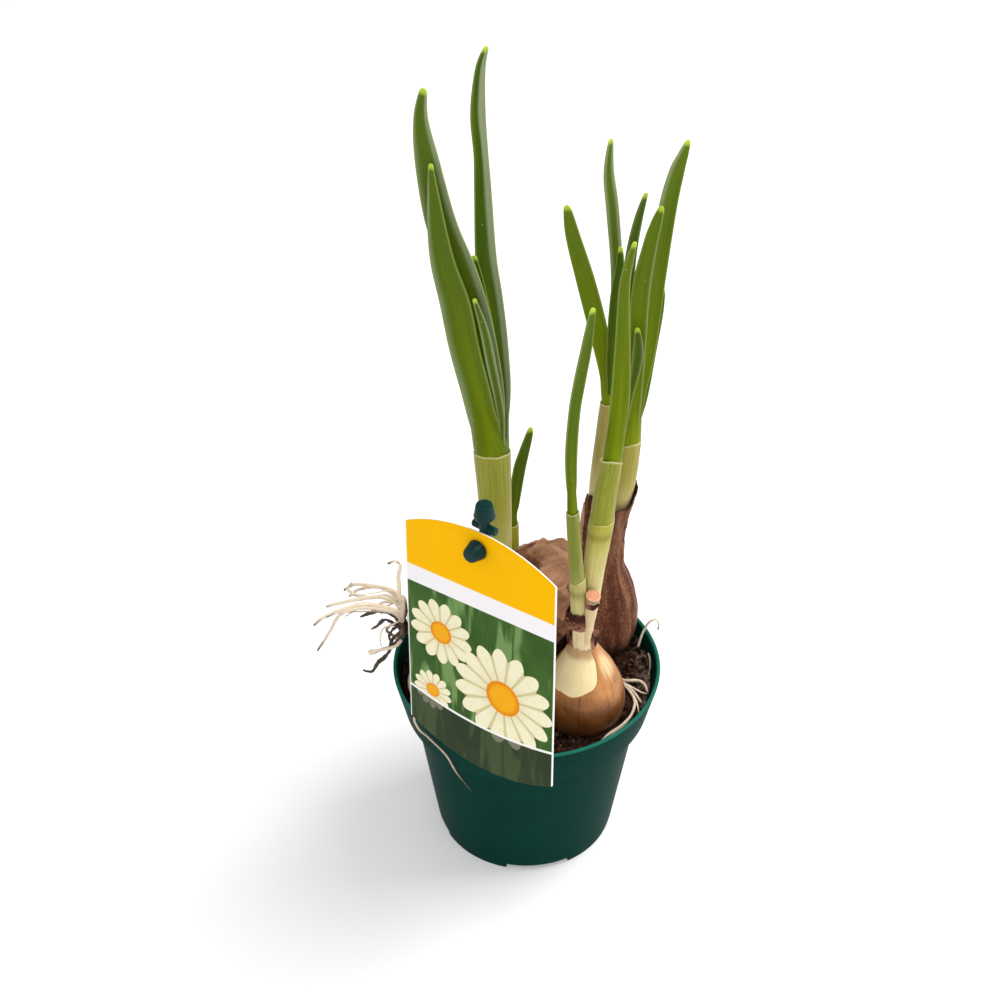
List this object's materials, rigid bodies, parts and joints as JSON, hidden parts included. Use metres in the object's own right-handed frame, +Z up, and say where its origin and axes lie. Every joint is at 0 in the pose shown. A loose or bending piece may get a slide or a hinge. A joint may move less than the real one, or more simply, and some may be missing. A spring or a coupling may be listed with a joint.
{
  "type": "potted narcissus",
  "caption": "Narcissus bulbs in leaf in a round plastic nursery pot, with soil, loose roots, papery necks, leaf sheaths and a picture tag hung on a stake.",
  "frame": {"origin": "centre of the pot's underside", "axes": "+Z up; +Y away from the viewer of the picture; +X to the viewer's right"},
  "size_m": [0.1543, 0.1443, 0.3807],
  "materials": {
    "pot_plastic": "satin dark green moulded plastic",
    "stake_plastic": "satin dark teal moulded plastic",
    "tag_plastic": "printed thin plastic with a white cut edge",
    "compost": "rough dark compost with fibres",
    "bulb_skin": "dry papery reddish-brown bulb skin",
    "pale_bulb_skin": "golden-brown bulb skin with dark veins",
    "sheath": "satin yellow-green sheath with fine streaks",
    "leaf": "satin green strap leaf with a grey bloom",
    "root": "smooth pale root",
    "dry_root": "shrivelled dark root"
  },
  "bodies": {
    "root": {"pot": "pot_plastic", "soil": "compost", "tag": "tag_plastic", "stake": "stake_plastic", "bulb_front": "pale_bulb_skin", "bulb_rear": "bulb_skin", "bulb_left": "bulb_skin", "roots_left_pale": "root", "roots_left_dry": "dry_root", "roots_front": "root", "root_on_soil": "root", "root_over_rim": "root", "root_hanging": "root", "leaf_left_back": "leaf", "leaf_left_front": "leaf", "leaf_left_tall": "leaf", "leaf_left_short": "leaf", "leaf_left_sliver": "leaf", "leaf_left_small": "leaf", "leaf_rear_left_bent": "leaf", "leaf_rear_left_tall": "leaf", "leaf_rear_left_far": "leaf", "leaf_rear_left_near": "leaf", "leaf_centre": "leaf", "leaf_rear_right_near": "leaf", "leaf_rear_right_tall": "leaf", "leaf_rear_right_far": "leaf", "leaf_rear_right_short": "leaf", "leaf_front": "leaf", "sheath_left": "sheath", "sheath_left_small": "sheath", "sheath_front": "sheath", "sheath_centre": "sheath", "sheath_rear_left": "sheath", "sheath_rear_right": "sheath"}
  },
  "joints": []
}
